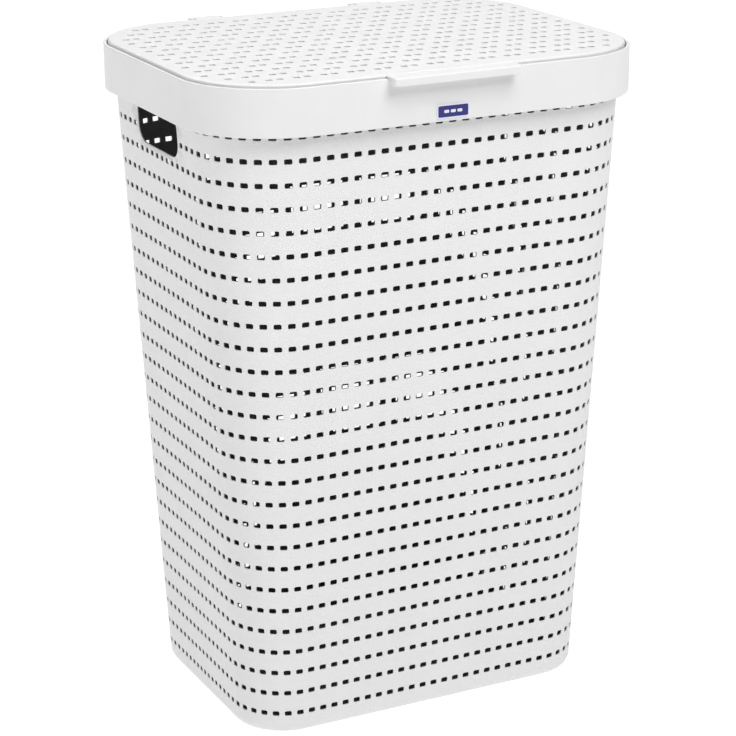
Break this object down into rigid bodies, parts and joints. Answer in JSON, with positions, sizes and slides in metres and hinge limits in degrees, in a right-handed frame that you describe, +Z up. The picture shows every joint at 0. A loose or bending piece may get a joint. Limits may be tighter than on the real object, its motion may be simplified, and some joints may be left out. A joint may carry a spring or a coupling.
{
  "type": "laundry hamper with lid",
  "caption": "Tall tapered plastic laundry hamper with rows of vent slots, side hand holes and a hinged lid with a finger tab in a smooth collar.",
  "frame": {"origin": "on the floor, under the middle of the basket", "axes": "+Z up, -Y towards the front with the finger tab, +X to the right of someone facing the front"},
  "size_m": [0.408, 0.3374, 0.577],
  "materials": {
    "basket_plastic": "white moulded polypropylene, fine woven-look grain, satin",
    "lid_plastic": "white moulded polypropylene, smooth satin",
    "pin_steel": "plain drawn steel",
    "badge_plastic": "glossy blue-violet plate with a plain pale edge, no lettering"
  },
  "bodies": {
    "basket_and_collar": {"basket": "basket_plastic", "lid_collar": "lid_plastic", "hinge_pin_left": "pin_steel", "hinge_pin_right": "pin_steel", "badge": "badge_plastic"},
    "flap": {"lid_flap": "lid_plastic"}
  },
  "joints": [
    {"name": "lid_hinge", "type": "hinge", "parent": "basket_and_collar", "child": "flap", "pos_m": [0, 0.1624, 0.573], "axis": [-1, 0, 0], "range_deg": [0, 105]}
  ]
}
